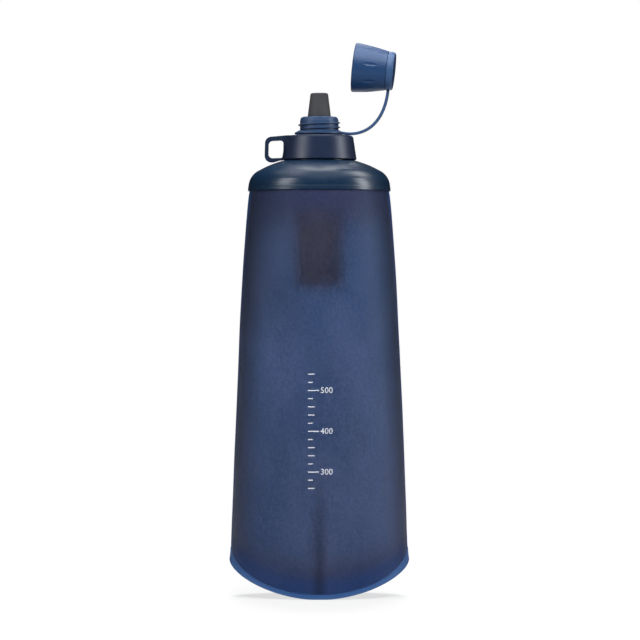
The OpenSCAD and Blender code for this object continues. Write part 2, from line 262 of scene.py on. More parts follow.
class Value:
    """One output socket of a shader node, with Python's arithmetic on it."""

    __add__, __radd__ = _arithmetic("ADD")
    __sub__, __rsub__ = _arithmetic("SUBTRACT")
    __mul__, __rmul__ = _arithmetic("MULTIPLY")
    __truediv__, __rtruediv__ = _arithmetic("DIVIDE")
    __pow__, __rpow__ = _arithmetic("POWER")

    def __init__(self, recipe: Recipe, socket: bpy.types.NodeSocket) -> None:
        """Keeps the socket and the recipe that it belongs to."""
        self.recipe = recipe
        self.socket = socket

    def math(self, operation: str, first: Any, second: Any = None) -> Value:
        """Adds a Math node on one or two terms."""
        terms = {0: first} if second is None else {0: first, 1: second}
        return self.recipe.node("ShaderNodeMath", {"operation": operation}, terms)

    def __abs__(self) -> Value:
        """The size of this without its sign."""
        return self.math("ABSOLUTE", self)

    def below(self, limit: float, soft: float) -> Value:
        """1 where this is well below a limit and 0 above it.

        Args:
            limit: The middle of the change.
            soft: The width of the change.

        Returns:
            The mask.
        """
        settings = {"interpolation_type": "SMOOTHSTEP"}
        span = {"Value": self, "From Min": limit + soft / 2, "From Max": limit - soft / 2}
        return self.recipe.node("ShaderNodeMapRange", settings, span)


class Recipe:
    """The node tree of one material, or of the world."""

    def __init__(self, name: str, store: str = "materials") -> None:
        """Starts an empty tree.

        Args:
            name: The name of what owns the tree.
            store: materials or worlds.
        """
        self.owner = getattr(bpy.data, store).new(name)
        self.owner.use_nodes = True
        self.tree = self.owner.node_tree
        self.tree.nodes.clear()

    def node(
        self,
        kind: str,
        settings: Mapping[str, Any] | None = None,
        inputs: Mapping[str | int, Any] | None = None,
        output: str | int = 0,
    ) -> Value:
        """Adds a node.

        Args:
            kind: The node's type.
            settings: Its own settings, such as an operation or a ramp's stops, set first.
            inputs: Values or links of its sockets, by name or number.
            output: The output that is wanted.

        Returns:
            That output.
        """
        made = self.tree.nodes.new(kind)
        for name, value in (settings or {}).items():
            if name == "stops":
                self._stops(made, value)
            else:
                setattr(made, name, value)
        for name, value in (inputs or {}).items():
            socket = made.inputs[name]
            if isinstance(value, Value):
                self.tree.links.new(value.socket, socket)
            else:
                socket.default_value = value
        return Value(self, made.outputs[output])

    @staticmethod
    def _stops(made: bpy.types.Node, stops: Sequence[tuple[float, float]]) -> None:
        """Sets a colour ramp's stops.

        Args:
            made: The ramp's node.
            stops: The stops in order, each a place and a grey.
        """
        elements = made.color_ramp.elements
        while len(elements) < len(stops):
            elements.new(0.5)
        for element, (place, grey) in zip(elements, stops):
            element.position = place
            element.color = (grey, grey, grey, 1.0)

    def place(self, follows: bool) -> Value:
        """Where a point of the piece is.

        Args:
            follows: True for a film or strap, whose pattern follows its surface as it bends.

        Returns:
            The place in metres.
        """
        if follows:
            return self.node("ShaderNodeAttribute", {"attribute_name": REST}, output="Vector")
        return self.node("ShaderNodeTexCoord", output="Object")

    def parts(self, place: Value) -> tuple[Value, Value, Value]:
        """The x, y and z of a place."""
        split = self.node("ShaderNodeSeparateXYZ", inputs={0: place})
        return tuple(Value(self, socket) for socket in split.socket.node.outputs)

    def stretched(self, place: Value, scale: Sequence[float], turn: Sequence[float] = (0, 0, 0)) -> Value:
        """A place scaled and turned by a Mapping node."""
        inputs = {"Vector": place, "Scale": scale, "Rotation": turn}
        return self.node("ShaderNodeMapping", inputs=inputs)

    def noise(self, place: Value, scale: float, detail: float = 2.0, rough: float = 0.5) -> Value:
        """Noise from 0 to 1 at a place."""
        inputs = {"Vector": place, "Scale": scale, "Detail": detail, "Roughness": rough}
        return self.node("ShaderNodeTexNoise", inputs=inputs)

    def ramp(self, value: Value, stops: Sequence[tuple[float, float]]) -> Value:
        """A value led through a grey ramp."""
        return self.node("ShaderNodeValToRGB", {"stops": stops}, {0: value})

    def mix(self, share: Value | float, first: Any, second: Any) -> Value:
        """A mix of two colours or links, share being how much of the second."""
        inputs = {0: share, 6: _colour(first), 7: _colour(second)}
        return self.node("ShaderNodeMix", {"data_type": "RGBA"}, inputs, output=2)

    def bump(self, height: Value, strength: float, distance: float) -> Value:
        """A bumped normal from a height."""
        inputs = {"Height": height, "Strength": strength, "Distance": distance}
        return self.node("ShaderNodeBump", inputs=inputs)

    def plastic(self, inputs: Mapping[str, Any]) -> Value:
        """A Principled shader with these sockets."""
        return self.node("ShaderNodeBsdfPrincipled", inputs=inputs)

    def clear(self, inputs: Mapping[str, Any]) -> Value:
        """A Principled shader of clear film with these sockets."""
        return self.plastic({"IOR": FILM_IOR, "Transmission Weight": 1.0, **inputs})

    def either(self, share: Value | float, first: Value, second: Value) -> Value:
        """A mix of two shaders, share being how much of the second."""
        return self.node("ShaderNodeMixShader", inputs={0: share, 1: first, 2: second})

    def finish(self, shader: Value, kind: str = "Material") -> Any:
        """Links the last shader to the output.

        Args:
            shader: The last shader.
            kind: Material or World.

        Returns:
            The material or the world.
        """
        end = self.tree.nodes.new("ShaderNodeOutput" + kind)
        self.tree.links.new(shader.socket, end.inputs["Surface"])
        return self.owner


def _colour(value: Any) -> Any:
    """A colour of three numbers gets its alpha, and a link stays as it is."""
    return value if isinstance(value, Value) else (*value, 1.0)


def srgb(red: int, green: int, blue: int) -> Colour:
    """A screen colour as linear light.

    Args:
        red: The red, 0 to 255.
        green: The green.
        blue: The blue.

    Returns:
        The three channels, 0 to 1.
    """

    def linear(level: float) -> float:
        """One channel."""
        return level / 12.92 if level <= 0.04045 else ((level + 0.055) / 1.055) ** 2.4

    return tuple(linear(channel / 255) for channel in (red, green, blue))


def shade(colour: Colour, share: float) -> Colour:
    """A colour darkened to a share of its light."""
    return tuple(share * channel for channel in colour)


# ---------------- finishes


@dataclass(frozen=True)
class Moulded:
    """Injection-moulded plastic with a fine spark-eroded grain and handling wear."""

    name: str
    colour: Colour
    worn: Colour
    roughness: float = 0.42
    specular: float = 0.5
    grain: float = 0.12
    flow_scale: float = 70.0
    scuff_scale: float = 260.0
    grit_scale: float = 2600.0
    grit_h: float = 0.00004
    follows: bool = False

    def make(self) -> Material:
        """Builds the material, whose pattern follows a bending piece where follows is set.

        Returns:
            The material.
        """
        recipe = Recipe(self.name)
        place = recipe.place(self.follows)
        flow = recipe.noise(recipe.stretched(place, (1.0, 1.0, 3.0)), self.flow_scale, 3.0)
        marks = recipe.noise(recipe.stretched(place, (1.0, 1.0, 9.0)), self.scuff_scale, 4.0, 0.65)
        scuffs = recipe.ramp(marks, [(0.5, 0), (0.78, 1)])
        grit = recipe.noise(place, self.grit_scale)
        return recipe.finish(recipe.plastic({
            "Base Color": recipe.mix(flow * 0.5 + scuffs * 0.22, self.colour, self.worn),
            "Roughness": self.roughness - 0.05 + flow * 0.1 + scuffs * 0.06,
            "Specular IOR Level": self.specular,
            "Normal": recipe.bump(grit + scuffs * 0.4, self.grain, self.grit_h),
        }))


@dataclass(frozen=True)
class Rubber:
    """Soft silicone rubber, matt, with a dusty bloom and faint mould lines."""

    name: str
    colour: Colour
    bloom: Colour
    roughness: float = 0.62
    dust_scale: float = 420.0
    ring_scale: float = 300.0
    grit_scale: float = 3200.0
    grit_h: float = 0.00004

    def make(self) -> Material:
        """Builds the material.

        Returns:
            The material.
        """
        recipe = Recipe(self.name)
        place = recipe.place(False)
        dust = recipe.noise(place, self.dust_scale, 4.0, 0.7)
        rings = recipe.noise(recipe.stretched(place, (0.2, 0.2, 6.0)), self.ring_scale)
        grit = recipe.noise(place, self.grit_scale)
        return recipe.finish(recipe.plastic({
            "Base Color": recipe.mix(dust * 0.7 + rings * 0.3, self.colour, self.bloom),
            "Roughness": self.roughness + dust * 0.12,
            "Specular IOR Level": 0.35,
            "Sheen Weight": 0.06,
            "Sheen Roughness": 0.4,
            "Normal": recipe.bump(grit + rings * 0.6, 0.25, self.grit_h),
        }))


@dataclass(frozen=True)
class FrostedFilm:
    """Tinted film with a frosted face: part of the light scatters off it, the rest goes through, blurred."""

    name: str
    colour: Colour
    pale: Colour
    # deep: the painted shade in the crease at the bottom centre.
    deep: Colour
    tint: Colour
    edge: Colour
    # The blue tone painted as light on the band above the weld, and as shade under the shoulder and along the
    # rim.
    painted_tone: Colour
    clear: float = 0.63
    roughness: float = 0.6
    blur: float = 0.45
    cloud_scale: float = 30.0
    grain_scale: float = 700.0
    grain_h: float = 0.00006
    crease_shade_w: float = 0.003
    crease_shade_z: float = 0.052
    thick_z: float = 0.11
    painted_band_w: float = 0.013
    weld_rise: float = 0.0204
    weld_half_w: float = 0.0504
    # Where the painted shade under the shoulder begins.
    shade_below_shoulder_z: float = 0.212
    # The painted shade on the film's left side: its edge band and its upper patch.
    left_edge_shade_x: float = -0.036
    left_shade_x: float = -0.016
    left_shade_z: float = 0.15

    def make(self) -> Material:
        """Builds the material.

        Returns:
            The material.
        """
        recipe = Recipe(self.name)
        place = recipe.place(True)
        x, _, z = recipe.parts(place)
        slant = recipe.node("ShaderNodeLayerWeight", inputs={"Blend": 0.5}, output="Facing")
        # Painted shade along the film's rim: at grazing angles the tone is pulled to the blue band colour and
        # less light goes through.
        rim_shade = 1.0 - slant.below(0.74, 0.12)
        cloud = recipe.noise(recipe.stretched(place, (1.0, 1.0, 0.6), (0.0, 0.6, 0.0)), self.cloud_scale)
        grain = recipe.noise(place, self.grain_scale, 1.0)
        mottle = recipe.ramp(cloud, [(0.35, 0), (0.65, 1)]) * 0.45
        mottle += recipe.ramp(grain, [(0.38, 0), (0.62, 1)]) * 0.55
        # fold masks a painted shade in the crease at the bottom centre: there the tone darkens to deep and
        # less light goes through.
        fold = abs(x).below(self.crease_shade_w, self.crease_shade_w * 2) * z.below(self.crease_shade_z, 0.055)
        weld = (abs(x) / self.weld_half_w) ** 2.4 * self.weld_rise
        # Painted light: the band just above the weld is painted paler and bluer, where the base panel behind
        # would shade it, and lets less light through.
        painted_tone = (z - weld).below(self.painted_band_w, self.painted_band_w)
        # top masks a painted shade on the film just under the shoulder: the tone is pulled to the blue band
        # colour and less light goes through.
        top = 1.0 - z.below(self.shade_below_shoulder_z, 0.024)
        tone = recipe.mix(mottle, self.colour, self.pale)
        tone = recipe.mix(painted_tone * 0.8 + top * 0.45 + rim_shade * 0.7, tone, self.painted_tone)
        frosted = recipe.plastic({
            "Base Color": recipe.mix(fold * 0.6, tone, self.deep),
            "Roughness": self.roughness + grain * 0.12,
            "Specular IOR Level": 0.14,
            "Normal": recipe.bump(grain, 0.22, self.grain_h),
        })
        thick = z.below(self.thick_z, 0.16) * 0.06
        share = self.clear + slant**2.0 * 0.7 - thick - fold * 0.12 - painted_tone * 0.25 - top * 0.24 - rim_shade * 0.9
        # Painted shade on the left of the film: the tint seen through it darkens on the upper left and along
        # the left edge.
        left_shade = x.below(self.left_shade_x, 0.02) * (1.0 - z.below(self.left_shade_z, 0.04)) * 0.6
        left_shade += x.below(self.left_edge_shade_x, 0.016) * 0.5
        clean = recipe.mix(mottle, shade(self.tint, 0.84), self.tint)
        tint = recipe.mix(left_shade, clean, shade(self.tint, 0.62))
        through = recipe.clear({
            "Base Color": recipe.mix(0.9 - slant.below(0.39, 0.62) * 0.9, tint, self.edge),
            "Roughness": self.blur,
            "Specular IOR Level": 0.02,
            "Specular Tint": (0.5, 0.55, 0.8, 1.0),
        })
        return recipe.finish(recipe.either(share, frosted, through))


@dataclass(frozen=True)
class WeldedStrip:
    """Two films melted into one strip, paler and glossier, with the weld bar's fine hatching."""

    name: str
    colour: Colour
    pale: Colour
    tint: Colour
    clear: float = 0.12
    hatch_scale: float = 2600.0
    cloud_scale: float = 60.0
    relief_h: float = 0.00008

    def make(self) -> Material:
        """Builds the material.

        Returns:
            The material.
        """
        recipe = Recipe(self.name)
        place = recipe.place(True)
        x, y, z = recipe.parts(place)
        hatch = recipe.node("ShaderNodeMath", {"operation": "SINE"}, {0: (x + z + y) * self.hatch_scale})
        cloud = recipe.noise(place, self.cloud_scale, 3.0)
        relief = recipe.bump(hatch, 0.12, self.relief_h)
        welded = recipe.plastic({
            "Base Color": recipe.mix(cloud * 0.8 + hatch * 0.08, self.colour, self.pale),
            "Roughness": 0.5 + cloud * 0.15,
            "Specular IOR Level": 0.18,
            "Normal": relief,
        })
        through = recipe.clear({"Base Color": (*self.tint, 1.0), "Roughness": 0.35, "Normal": relief})
        return recipe.finish(recipe.either(self.clear, welded, through))


@dataclass(frozen=True)
class Ink:
    """Screen-printed ink with pinholes and a soft edge to its tone."""

    name: str
    colour: Colour
    pinhole_scale: float = 2400.0

    def make(self) -> Material:
        """Builds the material.

        Returns:
            The material.
        """
        recipe = Recipe(self.name)
        speck = recipe.ramp(recipe.noise(recipe.place(True), self.pinhole_scale), [(0.28, 1), (0.4, 0)])
        tone = recipe.mix(speck * 0.35, self.colour, shade(self.colour, 0.6))
        ink = {"Base Color": tone, "Roughness": 0.5 + speck * 0.2, "Specular IOR Level": 0.3}
        return recipe.finish(recipe.plastic(ink))


FILM = FrostedFilm(
    "film_frosted",
    colour=srgb(44, 40, 49),
    pale=srgb(94, 85, 97),
    # deep is the painted shade in the bottom crease.
    deep=srgb(22, 26, 40),
    tint=(0.34, 0.61, 0.999),
    edge=(0.03, 0.032, 0.07),
    # The blue tone of the painted light above the weld and the painted shade at the top and rim.
    painted_tone=srgb(36, 68, 122),
)
STRIP = WeldedStrip("film_weld", srgb(55, 94, 152), srgb(72, 113, 172), (0.4, 0.6, 0.92))
SHOULDER = Moulded("plastic_shoulder", srgb(16, 42, 68), srgb(24, 52, 78), 0.29, 0.5, 0.08)
LID = Moulded("plastic_lid", srgb(21, 37, 64), srgb(30, 47, 76), 0.4, 0.45, 0.14)
TETHER = Moulded("plastic_tether", srgb(50, 73, 108), srgb(62, 87, 124), 0.42, 0.26)
STRAP = Moulded("plastic_strap", srgb(54, 84, 126), srgb(66, 98, 142), 0.4, 0.2, follows=True)
CAP = Moulded("plastic_cap", srgb(30, 62, 104), srgb(42, 76, 120), 0.35, 0.2, 0.1)
MOUTH = Rubber("silicone_mouthpiece", srgb(56, 57, 60), srgb(76, 77, 81))
SEAL = Rubber("silicone_seal", srgb(34, 35, 40), srgb(52, 54, 60))
HOUSING = Moulded("plastic_filter", srgb(30, 26, 27), srgb(44, 38, 37), 0.5)
POTTING = Moulded("resin_potting", srgb(214, 204, 178), srgb(232, 224, 204), 0.25, 0.6, 0.05)
FIBRE = Moulded("hollow_fibre", srgb(232, 224, 206), srgb(244, 240, 228), 0.6, 0.3, 0.2)
INK = Ink("ink_white", srgb(236, 239, 244))


def joint(name: str) -> tuple[Vector, Vector]:
    """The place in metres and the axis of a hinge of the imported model."""
    found = next(entry for entry in frame["joints"] if entry["name"] == name)
    return Vector(found["pos_m"]), Vector(found["axis"])


def onto_cap() -> Matrix:
    """The move that takes the z axis onto the hanging cap's axis, and the origin to its mouth."""
    mouth, axis = joint("cap_turn")
    return Matrix.Translation(mouth) @ UP.rotation_difference(axis).to_matrix().to_4x4()


def ramp(value: float, reach: float) -> float:
    """Climbs from 0 to 1 as a value goes from 0 to its reach."""
    return min(1.0, max(0.0, value) / reach)


def dress(names: Sequence[str], material: Material) -> None:
    """Gives CAD nodes their material.

    Args:
        names: The nodes.
        material: What they are made of.
    """
    for name in names:
        slots = frame["nodes"][name].data.materials
        slots.clear()
        slots.append(material)


def finished(piece: Piece, material: Material, slot: str) -> None:
    """Gives a new piece its material.

    Args:
        piece: The piece.
        material: What it is made of.
        slot: The record's slot, not used.
    """
    piece.data.materials.clear()
    piece.data.materials.append(material)
    log.info("%s: %d faces", piece.name, len(piece.data.polygons))


# ---------------- pouch


@dataclass
class Pouch:
    """The film pouch with its welded base: wall, base panel, weld strip and fill scale, in millimetres."""

    lip_z: float = 226.4
    top_r: float = 39.0
    half_w: float = 49.7
    half_d: float = 30.5
    flare: float = 0.7
    skirt_h: float = 8.0
    depth_power: float = 1.3
    film_t: float = 0.8
    thinner: float = 0.75
    panel_lift: float = 9.0
    ear_rise: float = 20.4
    ear_out: float = 0.7
    rest_half_w: float = 4.0
    strip_w: float = 3.1
    ear_w: float = 7.0
    strip_t: float = 1.6
    strip_round: float = 0.3
    press: float = 0.12
    edge_power: float = 1.65
    ear_power: float = 6.0
    fold_top: float = 62.0
    blend_from: float = 24.0
    blend_to: float = 219.0
    weld_lap: float = 0.4
    lip_lap: float = 0.1
    crowding: float = 0.9
    dent: float = 0.55
    dent_wave: tuple[float, float, float] = (0.018, 0.011, 0.006)
    dent_seed: float = 7.0
    crumple: float = 0.16
    crumple_wave: tuple[float, float, float] = (0.05, 0.03, 0.02)
    crumple_seed: float = 3.0
    taut_top: float = 45.0
    taut_base: float = 14.0
    weld_fade: float = 3.0
    gather: float = 0.1
    gather_h: float = 16.0
    gathers: int = 34
    fold_half_w: float = 2.1
    fold_in: float = 0.5
    fold_fade: float = 45.0
    pucker: float = 0.3
    puckers: int = 22
    crease: float = 0.4
    crease_half_w: float = 1.6
    scale_at: float = -6.2
    scale_z: float = 61.5
    tick_gap: float = 4.5
    tick_t: float = 0.55
    tick_lengths: tuple[float, ...] = (3.6, 2.6, 6.0, 2.6, 3.6)
    ticks: int = 15
    numerals: tuple[tuple[str, int], ...] = (("300", 2), ("400", 7), ("500", 12))
    numeral_at: float = 0.6
    numeral_h: float = 4.6
    ink_t: float = 0.07
    ahead: float = 60.0

    def width_at(self, z: float) -> float:
        """Half the pouch's width at a height."""
        share = min(1.0, (self.lip_z - z) / (self.lip_z - self.ear_rise))
        return self.top_r + (self.half_w - self.top_r) * max(0.0, share) ** self.flare

    def depth_at(self, z: float) -> float:
        """Half the pouch's depth at a height.

        Args:
            z: The height in millimetres.

        Returns:
            Half the depth.
        """
        top = self.lip_z - self.skirt_h
        share = max(0.0, min(1.0, (top - z) / (top - self.ear_rise)))
        return self.top_r + (self.half_d - self.top_r) * share**self.depth_power

    def edge_z(self, turn: float) -> float:
        """How high the weld's lower edge is.

        Args:
            turn: The turn in radians.

        Returns:
            The height in millimetres.
        """
        reach = self.half_w + self.ear_out
        share = max(0.0, reach * abs(math.cos(turn)) - self.rest_half_w) / (reach - self.rest_half_w)
        return self.ear_rise * (1 - (1 - min(1.0, share) ** self.edge_power) ** (1 / self.edge_power))

    def weld_z(self, turn: float) -> float:
        """Height of the weld's upper edge at a turn round the axis."""
        ear = abs(math.cos(turn)) ** self.ear_power
        return self.edge_z(turn) + self.strip_w + (self.ear_w - self.strip_w) * ear

    def film_at(self, turn: float, up: float) -> Vector:
        """A point of the film wall.

        Args:
            turn: The turn round the axis, in radians.
            up: The share of the way from the weld to the shoulder.

        Returns:
            The point in metres.
        """
        low = self.weld_z(turn) - self.weld_lap
        z = low + (self.lip_z - self.lip_lap - low) * up**self.crowding
        rise = z - low
        wide, deep = self.width_at(z), self.depth_at(z)
        x, y = wide * math.cos(turn), deep * math.sin(turn)
        level, tall, skew = self.dent_wave
        soft = noise.noise(Vector((x * level, y * level + self.dent_seed, z * tall + x * skew)))
        level, tall, skew = self.crumple_wave
        fine = noise.noise(Vector((x * level + z * skew, y * level, z * tall + self.crumple_seed)))
        clear = ramp(self.lip_z - self.skirt_h - z, self.taut_top) * ramp(rise, self.taut_base)
        push = clear * (self.dent * soft + self.crumple * fine)
        near = math.exp(-rise / self.gather_h) * ramp(rise, self.weld_fade)
        push += self.gather * near * math.sin(self.gathers * turn + 3 * soft)
        fold = math.exp(-((x / self.fold_half_w) ** 2)) * ramp(self.fold_top - z, self.fold_fade)
        push -= self.fold_in * fold * ramp(rise, self.weld_fade)
        out = Vector((x / wide**2, y / deep**2, 0.0)).normalized()
        return (Vector((x, y, z)) + out * push) * MM

    def strip_at(self, turn: float, up: float) -> Vector:
        """A point of the weld strip's outer face.

        Args:
            turn: The turn round the axis, in radians.
            up: From 0 at the edge to 1 at the film.

        Returns:
            The point in metres.
        """
        out = self.ear_out * abs(math.cos(turn)) ** self.ear_power * (1 - up)
        low, high = self.edge_z(turn), self.weld_z(turn)
        z = low + (high - low) * up
        out -= self.press * math.sin(math.pi * up)
        return Vector(((self.half_w + out) * math.cos(turn), (self.half_d + out) * math.sin(turn), z)) * MM

    def panel_at(self, turn: float, share: float) -> Vector:
        """A point of the base panel.

        Args:
            turn: The turn round the axis, in radians.
            share: From 0 at the middle to 1 at the weld.

        Returns:
            The point in metres.
        """
        rim_z = (self.edge_z(turn) + self.weld_z(turn)) / 2
        inset = self.strip_t + 0.05
        x = (self.half_w - inset) * share * math.cos(turn)
        y = (self.half_d - inset) * share * math.sin(turn)
        wave = self.pucker * share * (1 - share) * math.sin(self.puckers * turn)
        wave += self.crease * math.exp(-((x / self.crease_half_w) ** 2)) * (1 - share)
        return Vector((x, y, self.panel_lift + (rim_z - self.panel_lift) * share**2 + wave)) * MM

    def wall(self) -> Piece:
        """Models the film wall.

        Returns:
            The wall.
        """
        piece = Bench.loft("pouch_film", 160, 96, self.film_at)
        Bench.modify(piece, "SOLIDIFY", thickness=self.film_t * self.thinner * MM, offset=-1.0)
        return Bench.settle(piece, 60)

    def strip(self) -> Piece:
        """Models the welded strip round the base.

        Returns:
            The strip.
        """
        piece = Bench.loft("pouch_weld", 200, 6, self.strip_at)
        Bench.modify(piece, "SOLIDIFY", thickness=self.strip_t * MM, offset=-1.0)
        Bench.modify(
            piece, "BEVEL", width=self.strip_round * MM, segments=2, limit_method="ANGLE",
            angle_limit=math.radians(45),
        )
        return Bench.settle(piece, 35)

    def panel(self) -> Piece:
        """Models the saddle-shaped base panel.

        Returns:
            The panel.
        """
        rings = 12
        piece = Bench.add(
            bpy.ops.mesh.primitive_circle_add, "pouch_base", vertices=120, radius=1.0, fill_type="NGON"
        )
        with Bench.editing(piece, "FACE"):
            bpy.ops.mesh.select_all(action="SELECT")
            for _ in range(rings - 1):
                bpy.ops.mesh.inset(thickness=1 / rings, depth=0)
            bpy.ops.mesh.poke()
        for point in piece.data.vertices:
            share = min(1.0, point.co.xy.length)
            point.co = self.panel_at(math.atan2(point.co.y, point.co.x), share)
        Bench.outward(piece)
        Bench.modify(piece, "SOLIDIFY", thickness=self.film_t * MM, offset=0.0)
        return Bench.settle(piece, 60)

    def scale(self, wall: Piece) -> Piece:
        """The printed fill scale, laid on the front of the wall.

        Args:
            wall: The film that it is printed on.

        Returns:
            The ink.
        """
        marks: list[Piece] = []
        for step in range(self.ticks):
            length = self.tick_lengths[step % len(self.tick_lengths)]
            middle = self.scale_at + length / 2
            mark = self._before("tick", bpy.ops.mesh.primitive_plane_add, middle, step, size=1.0)
            mark.scale = (length * MM, self.tick_t * MM, 1)
            marks.append(mark)
        marks += [self.numeral(number, step) for number, step in self.numerals]
        Bench.clear()
        for mark in marks:
            mark.select_set(True)
        bpy.context.view_layer.objects.active = marks[0]
        bpy.ops.object.join()
        piece = bpy.context.active_object
        piece.name = piece.data.name = "fill_scale"
        bpy.ops.object.transform_apply(location=True, rotation=True, scale=True)
        with Bench.editing(piece):
            bpy.ops.mesh.select_all(action="SELECT")
            bpy.ops.mesh.quads_convert_to_tris()
            bpy.ops.mesh.subdivide(number_cuts=2)
        Bench.modify(
            piece, "SHRINKWRAP", target=wall, wrap_method="PROJECT", use_project_y=True,
            use_positive_direction=True, use_negative_direction=False, offset=0.0,
        )
        for point in piece.data.vertices:
            point.co.y -= self.ink_t * MM
        return piece

    def _before(self, name: str, operator: Callable[..., Any], x: float, step: int, **more: Any) -> Piece:
        """Adds a mark upright before the wall, x in millimetres, level with the tick of a step."""
        place = (x * MM, -self.ahead * MM, (self.scale_z + self.tick_gap * step) * MM)
        return Bench.add(operator, name, location=place, rotation=(math.pi / 2, 0, 0), **more)

    def numeral(self, number: str, step: int) -> Piece:
        """A number of the fill scale as a flat mesh in front of the wall.

        Args:
            number: What is printed.
            step: Which tick it names.

        Returns:
            The mesh.
        """
        piece = self._before("numeral", bpy.ops.object.text_add, self.numeral_at, step)
        text = piece.data
        text.body = number
        text.size = self.numeral_h * MM
        text.align_x, text.align_y = "LEFT", "CENTER"
        text.resolution_u = 4
        Bench.take(piece)
        bpy.ops.object.convert(target="MESH")
        return bpy.context.active_object

    def build(self) -> None:
        """Models and dresses the pouch."""
        film, strip, ink = FILM.make(), STRIP.make(), INK.make()
        wall = self.wall()
        scale = self.scale(wall)
        start, end = (0, 0, self.blend_from * MM), (0, 0, self.blend_to * MM)
        for piece, material in ((wall, film), (scale, ink)):
            Bench.keep_rest(piece)
            finished(piece, material, "film")
            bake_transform(piece)
            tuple(start)
            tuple(end)
        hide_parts("pouch_wall")
        for piece, material, slot, node in (
            (self.strip(), strip, "seam", "base_seam"), (self.panel(), film, "film", "base_panel")
        ):
            Bench.keep_rest(piece)
            finished(piece, material, slot)
            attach(piece, Body.BASE.value)
            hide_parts(node)


# ---------------- threads


@dataclass
class Thread:
    """A moulded thread in millimetres: a small profile swept round the axis, run out at both ends."""

    name: str
    radius: float
    pitch: float
    turns: float
    start_turn: float
    start_z: float
    height: float
    width: float
    side: Side = Side.OUTSIDE
    run_out: float = 0.09
    steps_a_turn: int = 72

    def build(self) -> Piece:
        """Models the thread round the z axis, its front rising to the right as a right-handed one's does.

        Returns:
            The thread.
        """
        sign = self.side.value
        piece = Bench.add(bpy.ops.mesh.primitive_plane_add, self.name, size=1.0)
        shape = ((-0.3, -0.5), (-0.3, 0.5), (1.0, 0.16), (1.0, -0.16))
        corners = sorted(piece.data.vertices, key=lambda point: math.atan2(point.co.y, point.co.x))
        for point, (out, up) in zip(corners, shape):
            point.co = Vector(((self.radius + sign * out * self.height) * MM, 0, up * self.width * MM))
        steps = int(self.turns * self.steps_a_turn)
        climb = self.pitch * self.turns * MM
        Bench.modify(
            piece, "SCREW", axis="Z", angle=math.tau * self.turns, screw_offset=climb,
            steps=steps, render_steps=steps, use_merge_vertices=False,
        )
        per_row = len(piece.data.vertices) // (steps + 1)
        for index, point in enumerate(piece.data.vertices):
            share = min(index // per_row, steps) / steps
            ends = min(1.0, min(share, 1 - share) / self.run_out)
            angle = math.atan2(point.co.y, point.co.x)
            level = share * climb
            out = math.hypot(point.co.x, point.co.y) - self.radius * MM
            out = out * ends - sign * (1 - ends) * 0.25 * self.height * MM
            z = level + (point.co.z - level) * (0.35 + 0.65 * ends)
            reach = self.radius * MM + out
            turn = angle + self.start_turn
            point.co = Vector((reach * math.cos(turn), reach * math.sin(turn), z + self.start_z * MM))
        Bench.outward(piece)
        return Bench.settle(piece, 30)


# ---------------- mouldings


@dataclass
class Closure:
    """The rigid mouldings on top: shoulder, lid, spout and mouthpiece, in millimetres."""

    spout_r: float = 10.8
    spout_pitch: float = 2.5
    spout_thread_h: float = 7.1
    neck_r: float = 16.8
    neck_pitch: float = 5.0
    neck_thread_h: float = 9.6

    def build(self) -> None:
        """Dresses the mouldings and adds their threads."""
        lid, spout, shoulder = LID.make(), TETHER.make(), SHOULDER.make()
        dress(["shoulder"], shoulder)
        dress(["lid_shell"], lid)
        dress(["spout"], spout)
        dress(["mouthpiece"], MOUTH.make())
        dress(["lid_gasket", "spout_seal", "filter_o_ring"], SEAL.make())
        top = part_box("spout")[1].z / MM
        thread = Thread(
            "spout_thread", self.spout_r, self.spout_pitch, turns=1.7, start_turn=math.radians(172),
            start_z=top - self.spout_thread_h, height=1.0, width=1.3,
        ).build()
        finished(thread, spout, "tether")
        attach(thread, Body.LID.value)
        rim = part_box("shoulder")[1].z / MM
        neck = Thread(
            "neck_thread", self.neck_r, self.neck_pitch, turns=1.6, start_turn=0.6,
            start_z=rim - self.neck_thread_h, height=0.6, width=1.8,
        ).build()
        finished(neck, shoulder, "shoulder")
        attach(neck, Body.SHOULDER.value)


